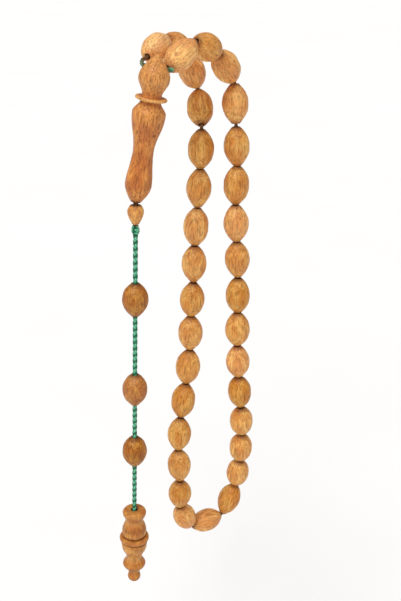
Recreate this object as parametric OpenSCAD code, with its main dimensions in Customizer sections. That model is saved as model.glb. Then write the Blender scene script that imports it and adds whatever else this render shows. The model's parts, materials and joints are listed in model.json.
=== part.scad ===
// Prayer beads: a closed string of turned wooden beads that hangs over a round bar, with the long
// leader bead (imame) in front of the bar and a beaded tassel cord below it.
// Millimetres. Origin on the bar's axis, X along the bar, -Y towards the leader bead, +Z up.

/* [String beads] */
// Length of one string bead along its cord hole
bead_length = 12; // [11:0.1:12]
// Largest diameter of one string bead
bead_diameter = 8.4; // [7:0.1:8.4]
// Diameter of the flat end around the cord hole
bead_end_diameter = 2.6; // [2.2:0.1:2.6]
// Diameter of the cord hole in every bead
bead_hole_diameter = 1.6; // [1.5:0.05:1.8]
// Fullness of the oval outline: 2 is a plain parabola, more is blunter towards the ends
bead_fullness = 2.6; // [2:0.1:2.8]

/* [Leader bead] */
// Widest diameter of the pointed head
head_diameter = 8.8; // [8:0.1:9]
// Diameter of the thin collar ring
collar_diameter = 9; // [8:0.1:9.5]
// Diameter of the shoulder below the collar
shoulder_diameter = 9.5; // [9:0.1:10]
// Diameter of the slim waist
waist_diameter = 5.9; // [5:0.1:7]
// Diameter of the lower bulb
bulb_diameter = 7.7; // [7:0.1:8.5]
// Sideways lean of the leader bead from upright, in degrees
leader_lean = 8; // [6:0.5:9]

/* [Tassel] */
// Length of one tassel bead
tassel_bead_length = 10.4; // [9.8:0.1:11]
// Largest diameter of one tassel bead
tassel_bead_diameter = 8.1; // [7.4:0.1:8.5]
// Height of the upper tassel bead's centre
upper_tassel_bead_height = -60; // [-62:0.5:-58]
// Height of the middle tassel bead's centre
middle_tassel_bead_height = -90.5; // [-92.5:0.5:-88.5]
// Height of the lower tassel bead's centre
lower_tassel_bead_height = -113; // [-115:0.5:-111]
// Diameter of the drop bead under the leader bead
drop_diameter = 4.9; // [4.3:0.1:5.2]
// Widest diameter of the turned end piece, at its ring
ring_diameter = 9.9; // [9:0.1:10.5]

/* [Cord] */
// Diameter of the cord through the string beads
string_cord_diameter = 1.1; // [0.8:0.1:1.2]
// Diameter of the plaited tassel cord
tassel_cord_diameter = 1.4; // [1.2:0.1:1.4]

/* [Hidden] */
$fn = 72;
wood = [0.78, 0.55, 0.31];
light_wood = [0.83, 0.62, 0.38];
green_cord = [0.13, 0.55, 0.40];

// The string's route: the cord bends only at these points, and one bead sits between two of them.
left_over_bar = [[-17, -7, 10], [-12.5, 4.5, 13.5], [-7, 15, 8], [-3, 22, -3], [-1.5, 12, -13]];
left_upper = [[-1.5, 12, -13], [-1.5, 12.5, -26], [-2, 12, -38.5], [-2.5, 11, -51], [-2.5, 11, -63.5]];
left_middle = [[-2.5, 11, -63.5], [-3, 12, -76], [-3, 12, -88.5], [-4, 11, -101], [-5.5, 9.5, -113.5]];
bottom_turn = [
    [-5.5, 9.5, -113.5], [-6, 8.5, -126], [-5, 8, -138.5], [-5, 10, -151], [-1, 14.5, -163],
    [11, 22, -162.5], [15.5, 23.5, -150], [16.5, 21, -137.5], [16.5, 19, -125], [15.5, 16.5, -112.5]
];
right_middle = [[15.5, 16.5, -112.5], [14, 15.5, -100], [13, 14.5, -87.5], [12.5, 14, -75], [12, 14, -62.5]];
right_upper = [[12, 14, -62.5], [11, 13.5, -50], [10, 13.5, -37.5], [10, 13.5, -25], [9, 13.5, -12.5]];
right_over_bar = [[9, 13.5, -12.5], [8, 17, 0.5], [2.5, 9, 9.5], [-4, -1.5, 14], [-11, -10.5, 7.5]];
// Bare cord from the first and last bead to the leader bead's cross hole
left_lead = [[-18.3, -13.3, 8.8], [-18.9, -12.6, 9], [-18.9, -11.4, 9.2], [-18.2, -9.8, 9.5]];
right_lead = [[-10.3, -11.3, 7.4], [-9.9, -12.3, 7.5], [-9.9, -13.1, 7.7]];

// Every bend of the closed string, in bead order from the leader bead's left side round to its right
route = concat(
    left_over_bar,
    tail(left_upper), tail(left_middle), tail(bottom_turn),
    tail(right_middle), tail(right_upper), tail(right_over_bar)
);
bead_count = len(route) - 1;
// Bends where the string is hinged, with their two strands at one level
hinge_bends = [4, 8, 12, 21, 25, 29];
// Play beside a bead at an ordinary bend, and at a hinged one
bend_play = 0.1;
hinge_play = 0.3;

leader_tip = [-13.7, -13.5, 11.8];
leader_length = 41.8;
cross_hole_depth = 3.6;
leader_bore_diameter = 1.9;
// How far cutters run past the wood, and how far the cord stays straight beside the leader bead's axis
bore_margin = 1;
straight_cord_reach = 3.4;

tassel_x = leader_tip[0] - leader_length * sin(leader_lean);
tassel_y = leader_tip[1];
leader_foot = [tassel_x, tassel_y, leader_tip[2] - leader_length * cos(leader_lean)];
drop_top = leader_foot[2] - 1;
drop_length = 5.6;
tassel_bead_heights = [upper_tassel_bead_height, middle_tassel_bead_height, lower_tassel_bead_height];
knot_centre = [tassel_x, tassel_y, -38.1];
knot_radius = 1.25;
knot_half_height = 1.4;
cord_clearance = 0.15;
end_top = -135.7;
end_hole_diameter = 2;
end_hole_depth = 9;
end_knot_radius = 0.9;

outline_steps = 9;
bead_outline_steps = 8;
cord_sides = 8;
first_side_hint = [1, 0.3, 0.2];

function bead_name(i) = str("string_bead_", i < 10 ? "0" : "", i);
bead_nodes = [for (i = [1 : bead_count]) bead_name(i)];

// ---- Vectors ----
function tail(list) = [for (i = [1 : len(list) - 1]) list[i]];
function unit(v) = v / norm(v);
function bend_angle(before, at, after) = acos(min(1, unit(at - before) * unit(after - at)));
function turned_point(p, angle) = [
    p[0] * cos(angle) + p[2] * sin(angle), p[1], p[2] * cos(angle) - p[0] * sin(angle)
];

// A point of the leader bead, given across and up from its tip
function leader_point(across, up) = leader_tip + turned_point([across, 0, up], leader_lean);

// ---- Outlines to revolve: each point is [radius, height] ----
function ease(from, to) = [
    for (k = [1 : outline_steps])
        let (u = k / outline_steps)
        [from[0] + (to[0] - from[0]) * (1 - cos(180 * u)) / 2, from[1] + (to[1] - from[1]) * u]
];
// Bulges and necks in turn, joined by easing curves
function eased(stations) = [
    for (i = [1 : len(stations) - 1]) each ease(stations[i - 1], stations[i])
];
// A quarter wave from a point to the widest place of a bulge
function swelling(from, to) = [
    for (k = [0 : outline_steps])
        let (u = k / outline_steps)
        [from[0] + (to[0] - from[0]) * sin(90 * u), from[1] + (to[1] - from[1]) * u]
];

// A thin disc's rim, with a chamfer on both edges
function disc_rim(radius, top, thickness, chamfer) = [
    [radius - chamfer, top], [radius, top - chamfer],
    [radius, top - thickness + chamfer], [radius - chamfer, top - thickness]
];

// ---- The cord's tube ----
function direction_at(path, i) =
    i == 0 ? unit(path[1] - path[0])
    : i == len(path) - 1 ? unit(path[i] - path[i - 1])
    : unit(unit(path[i] - path[i - 1]) + unit(path[i + 1] - path[i]));
function square_to(v, along) = unit(v - (v * along) * along);
function side_vectors(path) = [
    for (i = 0, side = square_to(first_side_hint, direction_at(path, 0)); i < len(path);
         i = i + 1, side = i < len(path) ? square_to(side, direction_at(path, i)) : side) side
];

module tube(path, diameter) {
    sides = side_vectors(path);
    ends = len(path) - 1;
    rings = [
        for (i = [0 : ends])
            let (along = direction_at(path, i), up = cross(along, sides[i]))
            for (k = [0 : cord_sides - 1])
                let (a = 360 * k / cord_sides)
                path[i] + (cos(a) * sides[i] + sin(a) * up) * diameter / 2
    ];
    walls = [
        for (i = [0 : ends - 1])
            for (k = [0 : cord_sides - 1])
                let (n = (k + 1) % cord_sides, row = i * cord_sides)
                [row + k, row + cord_sides + k, row + cord_sides + n, row + n]
    ];
    caps = [
        [for (k = [0 : cord_sides - 1]) k],
        [for (k = [cord_sides - 1 : -1 : 0]) ends * cord_sides + k]
    ];
    polyhedron(points = rings, faces = concat(walls, caps), convexity = 10);
}

// ---- Where the string beads sit ----
// Room a bead's end needs at a bend, so that neighbours touch only at the rims of their ends
function play_at(i) = len(search(i, hinge_bends)) > 0 ? hinge_play : bend_play;
function end_room(i) =
    i == 0 || i == len(route) - 1 ? bend_play
    : play_at(i) + bead_end_diameter / 2 * tan(bend_angle(route[i - 1], route[i], route[i + 1]) / 2);
function bead_axis(i) = unit(route[i] - route[i - 1]);
function bead_centre(i) =
    (route[i - 1] + route[i]) / 2 + bead_axis(i) * (end_room(i - 1) - end_room(i)) / 2;

// A cord run through part of the string: each bead's middle is a ring too, and a hinged end stops
// short of its bend
function with_middles(points) = [
    for (i = [0 : len(points) - 1])
        each i == 0 ? [points[0]] : [(points[i - 1] + points[i]) / 2, points[i]]
];
function shortened(points, at_start, at_end) = [
    for (i = [0 : len(points) - 1])
        i == 0 ? points[0] + unit(points[1] - points[0]) * at_start
        : i == len(points) - 1 ? points[i] + unit(points[i - 1] - points[i]) * at_end
        : points[i]
];
function reversed(list) = [for (i = [len(list) - 1 : -1 : 0]) list[i]];

module strand(points) {
    tube(with_middles(shortened(points, hinge_play, hinge_play)), string_cord_diameter);
}

// ---- Turned wood ----
module oval_bead(length, diameter) {
    rise = (diameter - bead_end_diameter) / 2;
    side = [
        for (k = [-bead_outline_steps : bead_outline_steps])
            let (t = k / bead_outline_steps)
            [diameter / 2 - rise * pow(abs(t), bead_fullness), t * length / 2]
    ];
    difference() {
        rotate_extrude() polygon(concat([[0, -length / 2]], side, [[0, length / 2]]));
        cylinder(h = length + 2 * bore_margin, d = bead_hole_diameter, center = true);
    }
}

module along(axis) {
    rotate([0, acos(axis[2]), atan2(axis[1], axis[0])]) children();
}

module string_bead(i) {
    color(wood) translate(bead_centre(i)) along(bead_axis(i)) oval_bead(bead_length, bead_diameter);
}

module tassel_bead(i) {
    color(wood) translate([tassel_x, tassel_y, tassel_bead_heights[i - 1]])
        oval_bead(tassel_bead_length, tassel_bead_diameter);
}

module leader_bead() {
    head = [head_diameter / 2, -6.6];
    neck_above_collar = [2.75, -11.3];
    collar_top = -11.65;
    collar_thickness = 0.75;
    collar_chamfer = 0.2;
    neck_below_collar = [2.9, -12.75];
    shoulder = [shoulder_diameter / 2, -16.2];
    waist = [waist_diameter / 2, -27];
    bulb = [bulb_diameter / 2, -37];
    foot = [1.35, -leader_length];
    outline = concat(
        [[0, 0]],
        swelling([0.25, 0], head),
        eased([head, neck_above_collar]),
        disc_rim(collar_diameter / 2, collar_top, collar_thickness, collar_chamfer),
        [neck_below_collar],
        eased([neck_below_collar, shoulder, waist, bulb, foot]),
        [[0, -leader_length]]
    );
    color(wood) translate(leader_tip) rotate([0, leader_lean, 0]) difference() {
        rotate_extrude() polygon(outline);
        translate([0, 0, -cross_hole_depth]) rotate([0, 90, 0])
            cylinder(h = head_diameter + 2 * bore_margin, d = bead_hole_diameter, center = true);
        translate([0, 0, -leader_length - bore_margin])
            cylinder(h = leader_length - cross_hole_depth + bore_margin, d = leader_bore_diameter);
    }
}

module drop_bead() {
    top_rim = [1.3, 0];
    widest = [drop_diameter / 2, -1.8];
    foot = [1.1, -drop_length];
    outline = concat(
        [[0, 0]],
        swelling(top_rim, widest),
        eased([widest, foot]),
        [[0, -drop_length]]
    );
    color(light_wood) translate([tassel_x, tassel_y, drop_top]) difference() {
        rotate_extrude() polygon(outline);
        translate([0, 0, -drop_length - bore_margin])
            cylinder(h = drop_length + 2 * bore_margin, d = bead_hole_diameter);
    }
}

module end_piece() {
    top_rim = [3.2, 0];
    flare = [3.95, -1];
    flare_neck = [2.85, -4.4];
    dome = [4.05, -8.3];
    upper_groove = [[3.9, -9.6], [3.5, -10], [3.6, -10.2]];
    ring_top = -10.4;
    ring_thickness = 1.6;
    ring_chamfer = 0.35;
    lower_groove = [[3.9, -12.2], [3.9, -12.4]];
    body_top = [4.4, -12.7];
    body_foot = [4.2, -14.5];
    waist = [2.6, -19.2];
    bulb = [3.86, -21.9];
    knob_neck = [2, -25.2];
    knob_radius = 2.2;
    knob_height = -27.2;
    outline = concat(
        [[0, 0]],
        swelling(top_rim, flare),
        eased([flare, flare_neck]),
        swelling(flare_neck, dome),
        upper_groove,
        disc_rim(ring_diameter / 2, ring_top, ring_thickness, ring_chamfer),
        lower_groove,
        [body_top],
        eased([body_top, body_foot, waist, bulb, knob_neck]),
        [for (a = [60 : -10 : -90]) [knob_radius * cos(a), knob_height + knob_radius * sin(a)]]
    );
    color(wood) translate([tassel_x, tassel_y, end_top]) difference() {
        rotate_extrude() polygon(outline);
        translate([0, 0, -end_hole_depth])
            cylinder(h = end_hole_depth + bore_margin, d = end_hole_diameter);
    }
}

// ---- Cord ----
// Over the bar and through the leader bead's cross hole
module string_cord_top() {
    path = concat(
        reversed(shortened(left_over_bar, 0, hinge_play)),
        reversed(left_lead),
        [for (side = [-1 : 1]) leader_point(side * straight_cord_reach, -cross_hole_depth)],
        reversed(right_lead),
        reversed(shortened(right_over_bar, hinge_play, 0))
    );
    color(green_cord) tube(path, string_cord_diameter);
}

module string_cord_upper() {
    color(green_cord) {
        strand(left_upper);
        strand(right_upper);
    }
}

module string_cord_middle() {
    color(green_cord) {
        strand(left_middle);
        strand(right_middle);
    }
}

module string_cord_lower() {
    color(green_cord) strand(bottom_turn);
}

// Down the leader bead's bore and through the drop bead, to just above the knot
module leader_cord() {
    bore_top = -cross_hole_depth - string_cord_diameter / 2 - cord_clearance;
    run = leader_length - bore_margin + bore_top;
    steps = 6;
    path = [
        for (k = [0 : steps]) leader_point(0, bore_top - run * k / steps),
        leader_foot, [tassel_x, tassel_y, drop_top - drop_length / 2],
        knot_centre + [0, 0, knot_half_height + cord_clearance]
    ];
    color(green_cord) tube(path, tassel_cord_diameter);
}

module tassel_knot() {
    color(green_cord) translate(knot_centre) rotate_extrude() polygon([
        for (a = [-90 : 10 : 90]) [knot_radius * cos(a), knot_half_height * sin(a)]
    ]);
}

module tassel_cord() {
    top = knot_centre[2] - knot_half_height - cord_clearance;
    bottom = end_top - end_hole_depth + 2 * end_knot_radius + cord_clearance;
    steps = 26;
    path = [for (k = [0 : steps]) [tassel_x, tassel_y, top + (bottom - top) * k / steps]];
    color(green_cord) tube(path, tassel_cord_diameter);
}

// The knot that keeps the cord in the end piece
module end_knot() {
    color(green_cord)
        translate([tassel_x, tassel_y, end_top - end_hole_depth + end_knot_radius + cord_clearance])
        sphere(end_knot_radius);
}

string_cord_top();
string_cord_upper();
string_cord_middle();
string_cord_lower();
for (i = [1 : bead_count]) string_bead(i);
leader_bead();
leader_cord();
drop_bead();
tassel_knot();
tassel_cord();
tassel_bead(1);  // tassel_bead_1
tassel_bead(2);  // tassel_bead_2
tassel_bead(3);  // tassel_bead_3
end_piece();
end_knot();
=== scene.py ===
import json
import math

import bpy
import numpy as np
from mathutils import Matrix, Vector, noise


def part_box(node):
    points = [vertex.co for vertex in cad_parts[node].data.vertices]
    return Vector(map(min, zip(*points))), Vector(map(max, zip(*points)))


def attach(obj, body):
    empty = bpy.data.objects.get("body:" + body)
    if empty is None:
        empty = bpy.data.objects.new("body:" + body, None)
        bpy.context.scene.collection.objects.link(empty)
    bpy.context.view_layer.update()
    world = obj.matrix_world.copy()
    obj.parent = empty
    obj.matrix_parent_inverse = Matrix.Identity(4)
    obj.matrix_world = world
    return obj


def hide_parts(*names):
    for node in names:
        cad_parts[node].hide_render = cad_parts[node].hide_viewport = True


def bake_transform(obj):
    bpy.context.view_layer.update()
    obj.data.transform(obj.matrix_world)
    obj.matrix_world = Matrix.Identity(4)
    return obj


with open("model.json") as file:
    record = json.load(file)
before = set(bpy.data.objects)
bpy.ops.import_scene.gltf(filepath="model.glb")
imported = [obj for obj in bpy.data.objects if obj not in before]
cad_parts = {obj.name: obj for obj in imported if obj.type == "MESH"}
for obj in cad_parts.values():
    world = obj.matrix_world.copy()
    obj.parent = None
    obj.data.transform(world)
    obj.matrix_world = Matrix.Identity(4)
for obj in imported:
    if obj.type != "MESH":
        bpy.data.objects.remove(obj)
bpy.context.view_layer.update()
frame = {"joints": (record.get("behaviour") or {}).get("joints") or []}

MM = 0.001
TAU = 2 * math.pi

# ---- Sizes that the CAD model also has, in millimetres ----
BEAD_RADIUS = 4.2
BEAD_HALF_LENGTH = 6.0
BEAD_END_RADIUS = 1.3
BEAD_BORE_RADIUS = 0.8
TASSEL_BEAD_HALF_LENGTH = 5.2
LEADER_LENGTH = 41.8
LEADER_BORE_RADIUS = 0.95
CROSS_HOLE_DEPTH = 3.6
STRAIGHT_CORD_REACH = 3.4
DROP_LENGTH = 5.6
END_HOLE_RADIUS = 1.0
END_HOLE_DEPTH = 9.0

# ---- Places and cords that the CAD model also has, in metres ----
LEADER_TIP = Vector((-0.0137, -0.0135, 0.0118))
LEADER_LEAN = math.radians(8)
TASSEL_X = LEADER_TIP.x - LEADER_LENGTH * MM * math.sin(LEADER_LEAN)
TASSEL_Y = -0.0135
KNOT_HEIGHT = -0.0381
END_KNOT_HEIGHT = -0.14365
TASSEL_CORD_FOOT = -0.14275
TASSEL_CORD = 0.0014
STRING_CORD = 0.0011
# The tassel cord goes up into the knot here. The CAD model's stops just below the knot.
TASSEL_CORD_TOP = -0.0386

# The string's bends, in bead order from the leader bead's left side round to its right: string bead i
# lies between bend i - 1 and bend i.
ROUTE = [
    (-0.017, -0.007, 0.010), (-0.0125, 0.0045, 0.0135), (-0.007, 0.015, 0.008),
    (-0.003, 0.022, -0.003), (-0.0015, 0.012, -0.013), (-0.0015, 0.0125, -0.026),
    (-0.002, 0.012, -0.0385), (-0.0025, 0.011, -0.051), (-0.0025, 0.011, -0.0635),
    (-0.003, 0.012, -0.076), (-0.003, 0.012, -0.0885), (-0.004, 0.011, -0.101),
    (-0.0055, 0.0095, -0.1135), (-0.006, 0.0085, -0.126), (-0.005, 0.008, -0.1385),
    (-0.005, 0.010, -0.151), (-0.001, 0.0145, -0.163), (0.011, 0.022, -0.1625),
    (0.0155, 0.0235, -0.150), (0.0165, 0.021, -0.1375), (0.0165, 0.019, -0.125),
    (0.0155, 0.0165, -0.1125), (0.014, 0.0155, -0.100), (0.013, 0.0145, -0.0875),
    (0.0125, 0.014, -0.075), (0.012, 0.014, -0.0625), (0.011, 0.0135, -0.050),
    (0.010, 0.0135, -0.0375), (0.010, 0.0135, -0.025), (0.009, 0.0135, -0.0125),
    (0.008, 0.017, 0.0005), (0.0025, 0.009, 0.0095), (-0.004, -0.0015, 0.014),
    (-0.011, -0.0105, 0.0075),
]
# The bare cord from the route's two ends to the leader bead's cross hole. The left one makes a
# slightly tighter loop than the CAD model's.
LEFT_LEAD = [(-0.0182, -0.0098, 0.0095), (-0.0182, -0.0111, 0.0092), (-0.0181, -0.0124, 0.009),
             (-0.0179, -0.0132, 0.0088)]
RIGHT_LEAD = [(-0.0099, -0.0131, 0.0077), (-0.0099, -0.0123, 0.0075), (-0.0103, -0.0113, 0.0074)]
# The bends where the string is hinged, with the bodies above and below them.
HINGES = {
    4: ("string_top", "string_upper"), 29: ("string_top", "string_upper"),
    8: ("string_upper", "string_middle"), 25: ("string_upper", "string_middle"),
    12: ("string_middle", "string_lower"), 21: ("string_middle", "string_lower"),
}


def srgb(red, green, blue):
    """Linear colour from 0 to 255 display values."""
    def linear(v):
        v /= 255
        return v / 12.92 if v <= 0.04045 else ((v + 0.055) / 1.055) ** 2.4
    return (linear(red), linear(green), linear(blue), 1.0)


def smooth(value, low, high):
    """0 up to low and 1 from high, with an S-shaped step between them."""
    t = min(1.0, max(0.0, (value - low) / (high - low)))
    return t * t * (3 - 2 * t)


# ---- Camera ----
CAMERA_PLACE = (0, -0.261, 0.046)
CAMERA_PITCH = math.radians(23.1)
CAMERA_ROLL = math.radians(2.0)


def make_camera():
    data = bpy.data.cameras.new("camera")
    data.sensor_width = 36.0
    data.lens = 53.9
    data.clip_start = 0.01
    data.clip_end = 20
    cam = bpy.data.objects.new("camera", data)
    bpy.context.scene.collection.objects.link(cam)
    cam.matrix_world = (
        Matrix.Translation(CAMERA_PLACE)
        @ Matrix.Rotation(math.radians(90) - CAMERA_PITCH, 4, "X")
        @ Matrix.Rotation(CAMERA_ROLL, 4, "Z")
    )
    bpy.context.scene.camera = cam


# ---- Node materials ----
# The Mix node has sockets for each kind of data. These are its share and its colours.
MIX_SHARE = 0
MIX_A = 6
MIX_B = 7
MIX_RESULT = 2


class Graph:
    """A short way to write a material's nodes."""

    def __init__(self, name):
        self.material = bpy.data.materials.new(name)
        self.material.use_nodes = True
        self.tree = self.material.node_tree
        self.shader = self.tree.nodes["Principled BSDF"]

    def node(self, kind, inputs=None, **settings):
        made = self.tree.nodes.new("ShaderNode" + kind)
        for key, value in settings.items():
            setattr(made, key, value)
        for key, value in (inputs or {}).items():
            self.set(made, key, value)
        return made

    def set(self, node, key, value):
        socket = node.inputs[key]
        if isinstance(value, bpy.types.NodeSocket):
            self.tree.links.new(value, socket)
        else:
            socket.default_value = value

    def attribute(self, name, output):
        return self.node("Attribute", attribute_name=name).outputs[output]

    def scaled(self, vector, scale):
        return self.node("Mapping", {"Vector": vector, "Scale": scale}).outputs["Vector"]

    def noise(self, vector, scale=1.0, detail=3.0, roughness=0.5):
        return self.node("TexNoise", {
            "Vector": vector, "Scale": scale, "Detail": detail, "Roughness": roughness,
        }).outputs["Fac"]

    def stretched_noise(self, vector, across, along, **settings):
        """Noise of one scale across the grain and another along it."""
        return self.noise(self.scaled(vector, (across, across, along)), **settings)

    def spread(self, value, low, high, to_low=0.0, to_high=1.0):
        """Maps low..high to another range, held at its ends."""
        return self.node("MapRange", {
            "Value": value, "From Min": low, "From Max": high, "To Min": to_low, "To Max": to_high,
        }, interpolation_type="SMOOTHSTEP").outputs["Result"]

    def math(self, operation, a, b):
        return self.node("Math", {0: a, 1: b}, operation=operation).outputs[0]

    def mix(self, share, a, b, blend="MIX"):
        """Colour a, with a share of colour b laid over it."""
        inputs = {MIX_SHARE: share, MIX_A: a, MIX_B: b}
        return self.node("Mix", inputs, data_type="RGBA", blend_type=blend).outputs[MIX_RESULT]

    def surface(self, **values):
        """Sets the shader's own sockets, named with _ for a space."""
        for key, value in values.items():
            self.shader.inputs[key.replace("_", " ")].default_value = value

    def relief(self, height, strength, distance):
        bump = self.node("Bump", {"Height": height, "Strength": strength, "Distance": distance})
        self.set(self.shader, "Normal", bump.outputs["Normal"])


def wood(name, light, middle, dark, pore=0.6, streak=0.55, pale=None):
    """Turned, oiled wood. The mesh carries its own grain coordinates in mm, with the fibre along Z, and
    its tone from 0 dark to 1 light. Its shade above 0 darkens it, as painted shade, and below 0 mixes it
    towards pale, mostly as painted light. pore and streak say how strongly the dark flecks and streaks
    show."""
    g = Graph(name)
    grain = g.attribute("grain", "Vector")
    tone = g.attribute("tone", "Fac")
    shade = g.attribute("shade", "Fac")
    ring_wave = g.node("TexWave", {
        "Vector": g.scaled(grain, (1.0, 1.0, 0.12)), "Scale": 0.22, "Distortion": 5.5,
        "Detail": 3.0, "Detail Scale": 1.6, "Detail Roughness": 0.6,
    }, wave_type="RINGS", rings_direction="Z").outputs["Fac"]
    patches = g.spread(g.stretched_noise(grain, 0.34, 0.16, detail=2.0), 0.34, 0.64)
    streaks = g.spread(g.stretched_noise(grain, 2.1, 0.22, detail=4.0, roughness=0.6), 0.45, 0.66)
    fibres = g.stretched_noise(grain, 9.0, 0.7, detail=2.0, roughness=0.6)
    flecks = g.spread(g.stretched_noise(grain, 3.6, 0.62, detail=3.0, roughness=0.6), 0.53, 0.66)
    glints = g.spread(g.stretched_noise(grain, 2.9, 0.5, detail=3.0, roughness=0.65), 0.42, 0.3)
    colour = g.mix(patches, light, middle)
    colour = g.mix(g.math("MULTIPLY", g.spread(ring_wave, 0.35, 0.95), 0.5), colour, middle)
    # Painted light: a shade below 0 mixes the colour towards pale.
    colour = g.mix(g.spread(shade, 0.0, -1.0, 0.0, 0.95), colour, pale or light)
    colour = g.mix(g.math("MULTIPLY", streaks, streak), colour, dark)
    colour = g.mix(g.math("MULTIPLY", flecks, pore), colour, dark)
    colour = g.mix(g.math("MULTIPLY", glints, 0.65), colour, light)
    colour = g.mix(g.spread(fibres, 0.3, 0.7, 0.0, 0.2), colour, dark)
    bright = g.spread(tone, 0.0, 1.0, 0.66, 1.16)
    warmth = g.spread(tone, 0.0, 1.0, 1.08, 0.92)
    tinted = g.node("HueSaturation", {"Color": colour, "Value": bright, "Saturation": warmth})
    # Painted shade: a shade above 0 darkens the colour towards dark.
    colour = g.mix(g.spread(shade, 0.0, 1.0), tinted.outputs["Color"], dark, "MULTIPLY")
    g.set(g.shader, "Base Color", colour)
    g.set(g.shader, "Roughness", g.spread(g.math("ADD", fibres, flecks), 0.3, 1.2, 0.38, 0.6))
    g.surface(Specular_IOR_Level=0.3, Coat_Weight=0.06, Coat_Roughness=0.28, IOR=1.46)
    height = g.math("ADD", g.math("MULTIPLY", flecks, -1.0), g.math("MULTIPLY", fibres, 0.5))
    height = g.math("ADD", height, g.math("MULTIPLY", streaks, -0.35))
    g.relief(height, strength=0.7, distance=0.0001)
    return g.material


def yarn(name, light, dark, deep):
    """A strand of twisted filaments, mixed towards deep, its painted shadow colour, by its mesh's shade.
    The mesh's grain is the number of the side round the strand in X, and mm along it in Z."""
    g = Graph(name)
    lay = g.attribute("grain", "Vector")
    parts = g.node("SeparateXYZ", {"Vector": lay}).outputs
    slant = g.math("ADD", g.math("MULTIPLY", parts["X"], 3.0), g.math("MULTIPLY", parts["Z"], 9.0))
    filaments = g.node("Math", {0: slant}, operation="SINE").outputs[0]
    fuzz = g.noise(g.scaled(lay, (2.5, 2.5, 2.5)), detail=3.0)
    hollow_shade = g.attribute("shade", "Fac")
    colour = g.mix(g.spread(g.math("ADD", filaments, fuzz), -0.4, 1.7), dark, light)
    # Painted shade: hollows, inner sides and gaps are darkened towards deep.
    colour = g.mix(g.spread(hollow_shade, 0.0, 1.0, 0.0, 0.97), colour, deep)
    g.set(g.shader, "Base Color", colour)
    g.set(g.shader, "Roughness", g.spread(fuzz, 0.3, 0.7, 0.42, 0.6))
    g.surface(Sheen_Weight=0.05, Sheen_Roughness=0.4, Specular_IOR_Level=0.3)
    g.relief(filaments, strength=0.5, distance=0.00003)
    return g.material


# ---- Meshes ----
WOOD_CREASE = 38
CORD_CREASE = 80


def add_mesh(name, points, faces, materials, face_materials=None, crease=WOOD_CREASE):
    """points are in metres. Faces are smooth, apart from edges sharper than crease degrees."""
    mesh = bpy.data.meshes.new(name)
    mesh.from_pydata(np.asarray(points).tolist(), [], faces, shade_flat=False)
    for material in materials:
        mesh.materials.append(material)
    if face_materials is not None:
        mesh.polygons.foreach_set("material_index", np.asarray(face_materials, np.int32))
    mesh.set_sharp_from_angle(angle=math.radians(crease))
    mesh.update()
    made = bpy.data.objects.new(name, mesh)
    bpy.context.scene.collection.objects.link(made)
    return made


def put_attribute(mesh, name, kind, values):
    layer = mesh.attributes.new(name, kind, "POINT")
    field = "vector" if kind == "FLOAT_VECTOR" else "value"
    layer.data.foreach_set(field, np.asarray(values, np.float32).ravel())


def points_of(mesh):
    co = np.zeros(len(mesh.vertices) * 3, np.float32)
    mesh.vertices.foreach_get("co", co)
    return co.reshape(-1, 3).astype(float)


def lathe(outline, sides):
    """Points and faces of an outline of (radius, height), revolved about the height axis. It starts and
    ends on that axis, or is a closed loop."""
    closed = outline[0][0] > 0
    angles = np.arange(sides) * TAU / sides
    points, rows = [], []
    for radius, height in outline:
        if radius <= 0:
            rows.append([len(points)] * sides)
            points.append((0.0, 0.0, height))
        else:
            rows.append(list(range(len(points), len(points) + sides)))
            points += [(radius * math.cos(a), radius * math.sin(a), height) for a in angles]
    faces = []
    pairs = list(zip(rows, rows[1:])) + ([(rows[-1], rows[0])] if closed else [])
    for low, high in pairs:
        for k in range(sides):
            n = (k + 1) % sides
            corners = [low[k], low[n], high[n], high[k]]
            faces.append([c for i, c in enumerate(corners) if c not in corners[:i]])
    return np.array(points), faces


def ease(stations, steps=14):
    """Bulges and necks in turn, joined by curves that run level with the axis at each."""
    out = [stations[0]]
    for (r0, z0), (r1, z1) in zip(stations, stations[1:]):
        for k in range(1, steps + 1):
            u = k / steps
            out.append((r0 + (r1 - r0) * (1 - math.cos(math.pi * u)) / 2, z0 + (z1 - z0) * u))
    return out


def swell(start, widest, steps=14):
    """A quarter wave from a point to the widest place of a bulge."""
    return [
        (start[0] + (widest[0] - start[0]) * math.sin(math.pi / 2 * k / steps),
         start[1] + (widest[1] - start[1]) * k / steps)
        for k in range(steps + 1)
    ]


def rounded_rim(radius, top, thickness, inset, steps=7):
    """A thin disc's rounded edge, from its upper face to its lower one."""
    half = thickness / 2
    return [
        (radius - inset + inset * math.cos(a), top - half + half * math.sin(a))
        for a in np.linspace(math.pi / 2, -math.pi / 2, steps)
    ]


def hand_in(piece, body, node):
    """Says which body a piece rides on and which CAD node it replaces."""
    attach(piece, body)
    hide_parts(node)


# How far a turned piece's axis lies from the middle of the tree, in mm, before each piece's own share.
PITH = 7.0


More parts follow.
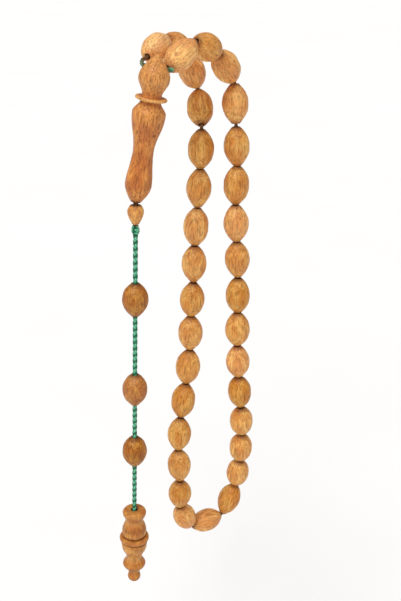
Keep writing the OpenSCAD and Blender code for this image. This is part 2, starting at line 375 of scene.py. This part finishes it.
def turn_wood(name, outline, place, material, body, node, seed, tone, shade_of, sides=56, wobble=0.12,
              oval=0.006, cut=None):
    """One turned piece. Its outline is in mm, and place puts its own axes in the frame. wobble and oval
    say how uneven it is, and cut is the start, end and radius of a hole across it."""
    rng = np.random.default_rng(seed)
    points, faces = lathe(outline, sides)
    phase, shift = rng.uniform(0, TAU), rng.uniform(-40, 40, 3)
    angle = np.arctan2(points[:, 1], points[:, 0])
    radius = np.hypot(points[:, 0], points[:, 1])
    outer = np.clip((radius - 1.0) / 0.8, 0, 1)
    bumps = np.array([noise.noise(Vector(p * 0.45 + shift)) for p in points])
    unevenness = oval * np.cos(2 * angle + phase) - oval + wobble * (bumps - 0.5) / np.maximum(radius, 1)
    points[:, :2] *= (1 + outer * unevenness)[:, None]
    made = add_mesh(name, points * MM, faces, [material])
    if cut is not None:
        bore(made, *cut)
    local = points_of(made.data) / MM
    spin = rng.uniform(0, TAU)
    c, s = math.cos(spin), math.sin(spin)
    grain = np.stack([
        local[:, 0] * c - local[:, 1] * s + PITH * rng.uniform(0.7, 1.5),
        local[:, 0] * s + local[:, 1] * c + rng.uniform(-2, 2),
        local[:, 2] + rng.uniform(-60, 60),
    ], axis=1)
    put_attribute(made.data, "grain", "FLOAT_VECTOR", grain)
    put_attribute(made.data, "tone", "FLOAT", np.full(len(local), tone))
    # The shade is painted shade above 0 and painted light below 0.
    put_attribute(made.data, "shade", "FLOAT", [shade_of(math.hypot(x, y), z) for x, y, z in local])
    made.data.transform(place)
    hand_in(made, body, node)


def bore(piece, start, end, radius):
    """Cuts a round hole from start to end, in the piece's own mm."""
    start = Vector(start) * MM
    along = Vector(end) * MM - start
    length = along.length / MM
    points, faces = lathe([(0, 0), (radius, 0), (radius, length), (0, length)], sides=40)
    cutter = add_mesh("cutter", points * MM, faces, [])
    cutter.matrix_world = Matrix.Translation(start) @ along.to_track_quat("Z", "Y").to_matrix().to_4x4()
    modifier = piece.modifiers.new("hole", "BOOLEAN")
    modifier.object = cutter
    modifier.operation = "DIFFERENCE"
    modifier.solver = "EXACT"
    bpy.context.view_layer.update()
    result = bpy.data.meshes.new_from_object(piece.evaluated_get(bpy.context.evaluated_depsgraph_get()))
    piece.modifiers.clear()
    uncut = piece.data
    piece.data = result
    result.name = piece.name
    bpy.data.meshes.remove(uncut)
    bpy.data.objects.remove(cutter)
    result.set_sharp_from_angle(angle=math.radians(WOOD_CREASE))


# ---- Cord ----
def soften(points, reach):
    """The path with each corner rounded within reach of it."""
    points = [np.array(p, float) for p in points]
    dense = [points[0]]
    for a, b in zip(points, points[1:]):
        step = b - a
        length = np.linalg.norm(step)
        if length > 2.2 * reach:
            dense += [a + step * reach / length, b - step * reach / length]
        dense.append(b)
    for _ in range(3):
        cut = [dense[0]]
        for a, b in zip(dense, dense[1:]):
            cut += [0.75 * a + 0.25 * b, 0.25 * a + 0.75 * b]
        dense = cut + [dense[-1]]
    return np.array(dense)


def distances(points):
    """How far along the path each of its points is."""
    return np.concatenate([[0], np.cumsum(np.linalg.norm(np.diff(points, axis=0), axis=1))])


def directions(points):
    ahead = np.gradient(points, axis=0)
    return ahead / np.linalg.norm(ahead, axis=1)[:, None]


def even(points, step):
    """The path again with points about step apart, and how far along it they are."""
    points = np.asarray(points, float)
    along = distances(points)
    at = np.linspace(0, along[-1], max(4, math.ceil(along[-1] / step) + 1))
    return np.stack([np.interp(at, along, points[:, k]) for k in range(3)], axis=1), at


def side_vectors(points):
    """Two sets of sideways vectors along a path, at right angles to each other, that don't twist."""
    ahead = directions(points)
    side = np.array([1.0, 0.0, 0.0])
    sides = []
    for t in ahead:
        side = side - (side @ t) * t
        side /= np.linalg.norm(side)
        sides.append(side)
    return np.array(sides), np.cross(ahead, np.array(sides))


def no_painted_shade(point):
    return 0.0


def tubes(name, strands, materials, sides, least_shade=no_painted_shade):
    """One mesh of closed strands. Each strand is its line, the directions it is flattened against, how
    deep it lies at each point, and its half width and half thickness. Their shade is painted shade,
    darker on each strand's inner side and where it lies deep. least_shade gives the least painted shade
    at a point, for the shadow in gaps and bores."""
    points, faces, kinds, grain, shade = [], [], [], [], []
    for index, (line, outward, hollow_shade, half_width, half_thickness) in enumerate(strands):
        along = distances(line) / MM
        ahead = directions(line)
        out = outward - (outward * ahead).sum(1)[:, None] * ahead
        out /= np.linalg.norm(out, axis=1)[:, None]
        across = np.cross(ahead, out)
        first = len(points)
        taper = np.ones(len(line))
        taper[[0, -1]] = 0.5
        for i, centre in enumerate(line):
            shade_here = least_shade(centre)
            for k in range(sides):
                a = TAU * k / sides
                offset = math.cos(a) * half_thickness * out[i] + math.sin(a) * half_width * across[i]
                inner_side_shade = 0.5 - 0.5 * math.cos(a)
                points.append(centre + taper[i] * offset)
                grain.append((k + 7.0 * index, 0.0, along[i]))
                # Painted shade: inner sides and deep places are darker, and no point is lighter than
                # least_shade.
                shade.append(max(shade_here, inner_side_shade * 0.6 + hollow_shade[i] * 0.4))
        for low in range(first, first + (len(line) - 1) * sides, sides):
            high = low + sides
            for k in range(sides):
                n = (k + 1) % sides
                faces.append([low + k, low + n, high + n, high + k])
        last = first + (len(line) - 1) * sides
        faces.append([first + k for k in reversed(range(sides))])
        faces.append([last + k for k in range(sides)])
        kinds += [index % len(materials)] * (len(faces) - len(kinds))
    made = add_mesh(name, points, faces, materials, kinds, crease=CORD_CREASE)
    put_attribute(made.data, "grain", "FLOAT_VECTOR", grain)
    put_attribute(made.data, "shade", "FLOAT", shade)
    return made


def plait(name, path, diameter, pitch, materials, step=0.00028, sides=8, least_shade=no_painted_shade):
    """Four strands round a core, two each way, that pass over and under each other."""
    line, along = even(path, step)
    side, up = side_vectors(line)
    radius, weave, core = 0.31 * diameter, 0.07 * diameter, 0.32 * diameter
    half_width, half_thickness = 0.38 * diameter, 0.16 * diameter
    turn = TAU * along / pitch
    strands = []
    for k in range(4):
        way = 1 if k % 2 == 0 else -1
        angle = way * turn + math.pi * (k // 2) + math.pi / 2
        away = np.cos(angle)[:, None] * side + np.sin(angle)[:, None] * up
        lift = way * np.cos(2 * turn)
        strand = line + (radius + weave * lift)[:, None] * away
        # Where a strand passes under the others it gets painted shade.
        strands.append((strand, away, (1 - lift) / 2, half_width, half_thickness))
    # The core lies behind the strands and is painted in full shade.
    strands.append((line, side, np.full(len(line), 2.0), core, core))
    return tubes(name, strands, materials, sides, least_shade)


def twist(name, path, diameter, pitch, materials):
    """Three strands laid round a path all one way."""
    count = 3
    line, along = even(path, step=0.00012)
    side, up = side_vectors(line)
    radius, half_width, half_thickness = 0.25 * diameter, 0.27 * diameter, 0.25 * diameter
    strands = []
    for k in range(count):
        angle = TAU * (along / pitch + k / count)
        away = np.cos(angle)[:, None] * side + np.sin(angle)[:, None] * up
        strands.append((line + radius * away, away, np.zeros(len(line)), half_width, half_thickness))
    return tubes(name, strands, materials, sides=8)


# Each yarn's last colour is its painted shadow colour.
MINT = yarn("cord_mint", srgb(142, 222, 184), srgb(26, 142, 92), srgb(6, 66, 44))
GREEN = yarn("cord_green", srgb(22, 128, 84), srgb(4, 82, 52), srgb(4, 56, 36))
# The string's shadow colours are brown: painted shade for the cord seen between the wooden pieces.
STRING_MINT = yarn("string_mint", srgb(142, 222, 184), srgb(34, 146, 96), srgb(124, 76, 38))
STRING_GREEN = yarn("string_green", srgb(34, 142, 94), srgb(6, 90, 58), srgb(104, 62, 30))
TASSEL_CORD_PITCH = 0.0043
STRING_CORD_PITCH = 0.0034
STRING_CORD_SIDES = 6
LEADER_CORD = 0.0013


def wound_knot(name, middle_height, coil_radius, thickness, height, turns, body, node):
    """A stopper knot: the strand wound down round the tassel cord, with its ends tucked in."""
    path = []
    tucked_share = 0.09
    for u in np.linspace(0, 1, 60):
        tuck = min(1.0, min(u, 1 - u) / tucked_share)
        angle = TAU * turns * u
        radius = coil_radius * (0.15 + 0.85 * math.sin(tuck * math.pi / 2))
        tilt = 0.16 * height * math.sin(angle)
        path.append((
            TASSEL_X + radius * math.cos(angle),
            TASSEL_Y + radius * math.sin(angle),
            middle_height + height * (0.5 - u) * 0.62 + tilt,
        ))
    made = twist(name, path, thickness, thickness * 2.2, [MINT, GREEN])
    hand_in(made, body, node)


def build_tassel_cord():
    path = [(TASSEL_X, TASSEL_Y, z) for z in np.linspace(TASSEL_CORD_TOP, TASSEL_CORD_FOOT, 38)]
    made = plait("tassel_cord_plait", path, TASSEL_CORD, TASSEL_CORD_PITCH, [MINT, GREEN])
    hand_in(made, "tassel", "tassel_cord")


def middle(i):
    """The middle of string bead i, where the runs of cord meet out of sight."""
    return (np.array(ROUTE[i - 1]) + np.array(ROUTE[i])) / 2


def in_a_gap(point):
    """How dark the string looks: it is in shadow everywhere but at the leader bead's right mouth, and
    half in shadow at its left one."""
    from_right = float(np.linalg.norm(point - np.array(RIGHT_LEAD[1])))
    from_left = float(np.linalg.norm(point - np.array(LEFT_LEAD[2])))
    return 0.95 * min(smooth(from_right, 0.0012, 0.0022), 0.6 + 0.4 * smooth(from_left, 0.0012, 0.0024))


def string_run(name, points):
    path = soften(points, STRING_CORD)
    return plait(name, path, STRING_CORD, STRING_CORD_PITCH, [STRING_MINT, STRING_GREEN], step=0.0003,
                 sides=STRING_CORD_SIDES, least_shade=in_a_gap)


def leader_matrix():
    return Matrix.Translation(LEADER_TIP) @ Matrix.Rotation(LEADER_LEAN, 4, "Y")


def in_leader(across, height):
    """The frame's point at a place in the leader bead, given in mm across it and above its tip."""
    return tuple(leader_matrix() @ Vector((across * MM, 0, height * MM)))


# The runs of cord below the bar: the CAD node, its body, and the first and last bead each one is in.
STRING_RUNS = (
    ("string_cord_upper", "string_upper", 5, 8), ("string_cord_upper", "string_upper", 26, 29),
    ("string_cord_middle", "string_middle", 9, 12), ("string_cord_middle", "string_middle", 22, 25),
    ("string_cord_lower", "string_lower", 13, 21),
)


def build_string_cord():
    across = (-STRAIGHT_CORD_REACH, 0, STRAIGHT_CORD_REACH)
    top = [middle(4)] + [ROUTE[i] for i in (3, 2, 1, 0)] + LEFT_LEAD
    top += [in_leader(x, -CROSS_HOLE_DEPTH) for x in across] + RIGHT_LEAD
    top += [ROUTE[i] for i in (33, 32, 31, 30)] + [middle(30)]
    made = string_run("string_cord_over_bar", top)
    hand_in(made, "string_top", "string_cord_top")
    for node, body, first, last in STRING_RUNS:
        points = [middle(first)] + [ROUTE[i] for i in range(first, last)] + [middle(last)]
        made = string_run(f"{node}_run_{first}", points)
        hand_in(made, body, node)
    for i, (above, below) in HINGES.items():
        build_hinged_bend(i, above)


def build_hinged_bend(i, above):
    """The short piece of cord round a hinged bend, between the runs above and below it."""
    made = string_run(f"string_cord_bend_{i}", [middle(i), ROUTE[i], middle(i + 1)])
    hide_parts(above.replace("string", "string_cord"))
    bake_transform(made)


# Painted shade: the leader cord lies in bores, so it is darkened all along.
def in_the_bore(point):
    return 0.9


def build_leader_cord():
    """The cord inside the leader bead and, upright, inside the drop bead, down into the knot."""
    upright_from, foot = -0.0332, -0.03675
    path = [in_leader(0, -depth) for depth in (4.5, 14, 24, 34, 39.5, LEADER_LENGTH)]
    path += [(TASSEL_X, TASSEL_Y, upright_from), (TASSEL_X, TASSEL_Y, foot)]
    made = plait("leader_cord_plait", soften(path, reach=0.001), LEADER_CORD, TASSEL_CORD_PITCH,
                 [STRING_MINT, STRING_GREEN], sides=STRING_CORD_SIDES, least_shade=in_the_bore)
    hand_in(made, "leader", "leader_cord")


def build_knots():
    wound_knot("tassel_knot_wound", KNOT_HEIGHT, coil_radius=0.0007, thickness=0.0011, height=0.0027,
               turns=2.6, body="tassel_knot", node="tassel_knot")
    wound_knot("end_knot_wound", END_KNOT_HEIGHT, coil_radius=0.0004, thickness=0.0008, height=0.0014,
               turns=1.8, body="tassel", node="end_knot")


# ---- Wood ----
# Its pale is for string bead 1: part painted light, part paler wood.
HONEY = wood("bead_wood", srgb(255, 194, 98), srgb(228, 147, 54), srgb(124, 60, 16), pore=0.36,
             pale=srgb(255, 214, 140))
TAWNY = wood("tassel_bead_wood", srgb(224, 156, 70), srgb(194, 116, 44), srgb(106, 52, 16), pore=0.5)
# Its pale is the painted light on the leader bead's head, and the collar's paler colour.
ROSY = wood("leader_wood", srgb(234, 150, 50), srgb(200, 110, 26), srgb(100, 44, 8), pore=0.55,
            pale=srgb(252, 184, 92))
AMBER = wood("drop_bead_wood", srgb(250, 184, 80), srgb(218, 138, 44), srgb(120, 64, 16))
# Its pale is the colour of the end piece's painted light bands and of its paler rims.
WARM = wood("end_piece_wood", srgb(224, 154, 58), srgb(192, 112, 32), srgb(104, 50, 12), pore=0.3,
            streak=0.35, pale=srgb(252, 194, 110))


def bead_outline(half, widest, fullness, skew):
    """A bored oval bead: outside from foot to top, then back down its bore."""
    steps = 34
    just_short_of_the_ends = 0.985
    outer = []
    for k in range(steps + 1):
        t = math.sin(math.pi / 2 * (2 * k / steps - 1) * just_short_of_the_ends)
        lean = t - skew * (1 - t * t)
        bulge = 1 - abs(lean) ** fullness
        outer.append((BEAD_END_RADIUS + (widest - BEAD_END_RADIUS) * bulge, t * half))
    rim = [(BEAD_END_RADIUS - 0.16, half), (BEAD_BORE_RADIUS + 0.12, half), (BEAD_BORE_RADIUS, half - 0.14)]
    bore_wall = [(BEAD_BORE_RADIUS, half * u) for u in (0.6, 0.0, -0.6)]
    foot_rim = [(r, -z) for r, z in reversed(rim)]
    return outer + rim + bore_wall + foot_rim


def bead_shade(half, paleness_and_light=0.0):
    """A bead's shade: painted shade in its bore, and darker towards its ends, partly painted shade where
    the beads meet and partly darker end grain. paleness_and_light mixes it towards pale: painted light
    with part a paler wood.
    """
    def shade(radius, z):
        if radius < 1.0 and abs(z) < half - 0.03:
            return 1.0
        return 0.55 * smooth(abs(z) / half, 0.72, 1.0) - paleness_and_light
    return shade


def place_on(centre, axis):
    return Matrix.Translation(centre) @ Vector(axis).to_track_quat("Z", "Y").to_matrix().to_4x4()


def top_of(node):
    """A piece's own axes, with their origin at its top on the tassel's axis."""
    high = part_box(node)[1]
    return Matrix.Translation((TASSEL_X, TASSEL_Y, high.z))


# What sets some string beads apart, by number from the leader bead's left side. The beads in the
# string's looser parts are longer.
BEAD_HALF_LENGTHS = {
    1: 6.15, 2: 6.25, 3: 6.35, 4: 6.15, 16: 6.2, 17: 6.1, 18: 6.3, 31: 6.3, 32: 6.25, 33: 6.25,
}
BEAD_WIDTH_SHARES = {1: 0.97, 33: 0.94}
# Beads 1 and 33 face the light: their tones and bead 1's paleness are part painted light, part paler wood.
BEAD_TONES = {1: 1.0, 5: 0.55, 22: 0.45, 25: 0.5, 27: 0.9, 32: 0.6, 33: 1.0}
BEAD_PALENESS_AND_LIGHT = {1: 0.4}


def build_string_beads():
    spins = {j["child"]: j for j in frame["joints"] if j["name"].startswith("string_bead_")}
    rng = np.random.default_rng(33)
    tones = rng.uniform(0.52, 0.86, len(spins))
    for i, (node, joint) in enumerate(sorted(spins.items()), 1):
        half = BEAD_HALF_LENGTHS.get(i, BEAD_HALF_LENGTH)
        widest = BEAD_RADIUS * rng.uniform(0.975, 1.0) * BEAD_WIDTH_SHARES.get(i, 1.0)
        fullness = rng.uniform(2.0, 2.45)
        skew = rng.uniform(-0.04, 0.04)
        outline = bead_outline(half, widest, fullness, skew)
        turn_wood(
            f"{node}_wood", outline, place_on(joint["pos_m"], joint["axis"]), HONEY,
            node, node, seed=100 + i, tone=BEAD_TONES.get(i, tones[i - 1]),
            shade_of=bead_shade(half, BEAD_PALENESS_AND_LIGHT.get(i, 0.0)),
        )


def build_tassel_beads():
    half = TASSEL_BEAD_HALF_LENGTH
    outline = bead_outline(half, widest=4.02, fullness=2.2, skew=0.02)
    for i, tone in enumerate((0.45, 0.6, 0.4), 1):
        node = f"tassel_bead_{i}"
        low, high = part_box(node)
        turn_wood(
            f"{node}_wood", outline, place_on((low + high) / 2, (0, 0, 1)), TAWNY,
            node, node, seed=200 + i, tone=tone, shade_of=bead_shade(half),
        )


# Points of the leader bead's outline, as radius and height from its tip.
LEADER_HEAD = (4.4, -6.6)
LEADER_NECK = (2.75, -11.3)
LEADER_SHOULDER = (4.75, -16.2)
LEADER_WAIST = (2.95, -27)
LEADER_BULB = (3.88, -36.8)
COLLAR_RADIUS = 4.5
COLLAR_TOP = -11.65
COLLAR_THICKNESS = 0.75
# How far down the long bore stops: inside the cross hole, which is cut after it.
LEADER_BORE_TOP = 4.2


def leader_outline():
    foot, hole = -LEADER_LENGTH, LEADER_BORE_RADIUS
    head = [(0, -0.02)] + swell((0.28, -0.05), LEADER_HEAD, 18) + ease([LEADER_HEAD, LEADER_NECK])[1:]
    collar = [(2.9, -11.55)] + rounded_rim(COLLAR_RADIUS, COLLAR_TOP, COLLAR_THICKNESS, 0.3) + [(3.0, -12.5)]
    body = ease([(2.9, -12.75), LEADER_SHOULDER, LEADER_WAIST, LEADER_BULB], 18)
    rounded_foot = [
        (3.72, -37.7), (3.48, -38.4), (3.18, -39.1), (2.86, -39.7), (2.5, -40.3), (2.12, -40.9),
        (1.76, -41.4), (1.5, -41.7), (1.35, foot),
    ]
    bore_wall = [(hole + 0.1, foot), (hole, foot + 0.15)]
    bore_wall += [(hole, -z) for z in (34, 25, 16, 8, LEADER_BORE_TOP)] + [(0, -LEADER_BORE_TOP)]
    return head + collar + body + rounded_foot + bore_wall


def leader_shade(radius, z):
    """Painted shade in the bore, beside the collar and at the foot, pale on the collar, and painted light
    towards the head, where the light falls from above."""
    if radius < 1.0 and -LEADER_LENGTH + 0.1 < z < -4:
        return 1.0
    if -12.45 < z < -11.6 and radius > 3.2:
        return -0.9
    neck = smooth(-abs(z + 12.0), -1.9, -0.5) * smooth(-radius, -3.8, -2.9)
    # Painted light: the head is mixed towards pale, fading out from 9 to 26 mm below the tip.
    body = 0.46 * smooth(-z, 9.0, 26.0) - 0.46
    return body + 0.6 * neck + 0.3 * smooth(-z, 38.5, 41.0) + 0.6 * smooth(-z, 41.0, 41.7)


def build_leader():
    past_the_wood = 5.5
    left, right = (-past_the_wood, 0, -CROSS_HOLE_DEPTH), (past_the_wood, 0, -CROSS_HOLE_DEPTH)
    turn_wood(
        "leader_bead_wood", leader_outline(), leader_matrix(), ROSY, "leader", "leader_bead",
        seed=301, tone=0.72, shade_of=leader_shade, sides=88, wobble=0.06, oval=0.002,
        cut=(left, right, BEAD_BORE_RADIUS),
    )


def drop_outline():
    foot, hole = -DROP_LENGTH, BEAD_BORE_RADIUS
    outline = [(hole, -0.15), (hole + 0.12, 0), (1.5, 0)] + swell((1.72, -0.12), (2.44, -1.9))
    outline += [(2.4, -2.5), (2.24, -3.1), (1.98, -3.8), (1.64, -4.5), (1.3, -5.1), (1.1, foot + 0.05)]
    return outline + [(1.0, foot), (hole + 0.05, foot), (hole, foot + 0.15)]


def drop_shade(radius, z):
    """Painted shade in the bore and towards both ends."""
    if radius < 0.9:
        return 1.0
    return max(0.5 * smooth(z, -0.35, -0.05), 0.4 * smooth(-z, 4.4, 5.6))


def build_drop_bead():
    turn_wood(
        "drop_bead_wood", drop_outline(), top_of("drop_bead"), AMBER, "drop_bead",
        "drop_bead", seed=302, tone=0.8, shade_of=drop_shade, wobble=0.03,
    )


# Heights of the end piece's bands of painted light and painted shade from its top, and how far each one
# reaches.
PAINTED_LIGHT_BANDS = ((-4.4, 2.2), (-9.1, 1.3), (-14.8, 2.4), (-18.8, 2.4), (-25.5, 0.7))
PAINTED_SHADE_BANDS = ((-6.9, 1.9), (-22.9, 2.0), (-28.4, 1.6))
KNOB_RADIUS = 2.2
KNOB_HEIGHT = -27.2


def band(z, bands):
    return max(smooth(-abs(z - height), -reach, 0.0) for height, reach in bands)


def end_piece_outline():
    hole = END_HOLE_RADIUS
    rim = (3.93, -1.0)
    outline = [(0, -END_HOLE_DEPTH), (hole, -END_HOLE_DEPTH), (hole, -4.0)]
    outline += [(hole, -0.25), (hole + 0.25, -0.02), (2.3, 0.0)]
    outline += swell((3.25, -0.06), rim) + ease([rim, (2.85, -4.4)])[1:]
    outline += swell((2.87, -4.45), (4.05, -8.3))[1:]
    outline += [(4.03, -9.0), (3.9, -9.6), (3.5, -9.95), (3.52, -10.25)]
    outline += rounded_rim(4.94, -10.4, 1.6, 0.6, 9) + [(3.9, -12.1), (3.88, -12.4), (4.2, -12.55)]
    outline += ease([(4.38, -12.8), (4.2, -14.5), (2.6, -19.2), (3.85, -21.9), (1.95, -25.2)])
    knob = np.radians(np.linspace(56, -84, 16))
    outline += [(KNOB_RADIUS * math.cos(a), KNOB_HEIGHT + KNOB_RADIUS * math.sin(a)) for a in knob]
    return outline + [(0, KNOB_HEIGHT - KNOB_RADIUS)]


def end_piece_shade(radius, z):
    """Painted shade in the hole, shadowed in the two grooves, pale on the rims, and banded down its
    length with painted light and painted shade.
    """
    if radius < 1.05 and -9.5 < z < -0.1:
        return 1.0
    groove = max(smooth(-abs(z + 10.1), -0.5, -0.15), smooth(-abs(z + 12.3), -0.4, -0.1))
    rims = max(smooth(radius, 3.6, 3.9) * smooth(z, -1.9, -0.6), smooth(radius, 4.7, 4.95))
    shadow = 0.6 * groove * smooth(-radius, -4.5, -4.0)
    # Painted shade in the dark bands and grooves, painted light in the pale bands.
    return max(shadow, 0.35 * band(z, PAINTED_SHADE_BANDS)) - 0.2 * rims - 0.36 * band(z, PAINTED_LIGHT_BANDS)


def build_end_piece():
    turn_wood(
        "end_piece_wood", end_piece_outline(), top_of("end_piece"), WARM, "end_piece",
        "end_piece", seed=303, tone=0.66, shade_of=end_piece_shade, sides=80, wobble=0.05, oval=0.002,
    )


# ---- Floor and light ----
FLOOR_REACH = 4.0
FLOOR_HEIGHT = -0.26


def grey(value):
    return (value, value, value, 1.0)


def build_stage():
    g = Graph("floor")
    tint = g.noise(g.node("TexCoord").outputs["Object"], scale=6.0, detail=2.0)
    g.set(g.shader, "Base Color", g.mix(g.spread(tint, 0.3, 0.7), grey(0.95), grey(0.97)))
    g.surface(Roughness=0.9, Specular_IOR_Level=0.0)
    signs = ((-1, -1), (1, -1), (1, 1), (-1, 1))
    corners = [(x * FLOOR_REACH, y * FLOOR_REACH, FLOOR_HEIGHT) for x, y in signs]
    add_mesh("floor", corners, [[0, 1, 2, 3]], [g.material])


def soft_light(name, from_direction, strength, spread, colour=(1.0, 1.0, 1.0)):
    """A far, very large lamp: even over the floor, with soft shadows."""
    data = bpy.data.lights.new(name, "SUN")
    data.angle = math.radians(spread)
    data.energy = strength
    data.color = colour
    lamp = bpy.data.objects.new(name, data)
    bpy.context.scene.collection.objects.link(lamp)
    lamp.matrix_world = (-Vector(from_direction)).to_track_quat("-Z", "Y").to_matrix().to_4x4()


def build_light():
    world = bpy.data.worlds.new("studio")
    world.use_nodes = True
    background = world.node_tree.nodes["Background"]
    background.inputs["Color"].default_value = grey(1.0)
    background.inputs["Strength"].default_value = 0.34
    bpy.context.scene.world = world
    soft_light("key", (-0.3, -0.55, 0.78), strength=2.0, spread=36, colour=(1.0, 0.985, 0.96))
    soft_light("top", (0.25, -0.1, 0.96), strength=0.7, spread=70)


# ---- Making: the camera and the cords come first ----
make_camera()
build_tassel_cord()
build_string_cord()
build_leader_cord()
build_knots()
build_string_beads()
build_tassel_beads()
build_leader()
build_drop_bead()
build_end_piece()
build_stage()
build_light()
bpy.context.scene.view_settings.view_transform = "Standard"
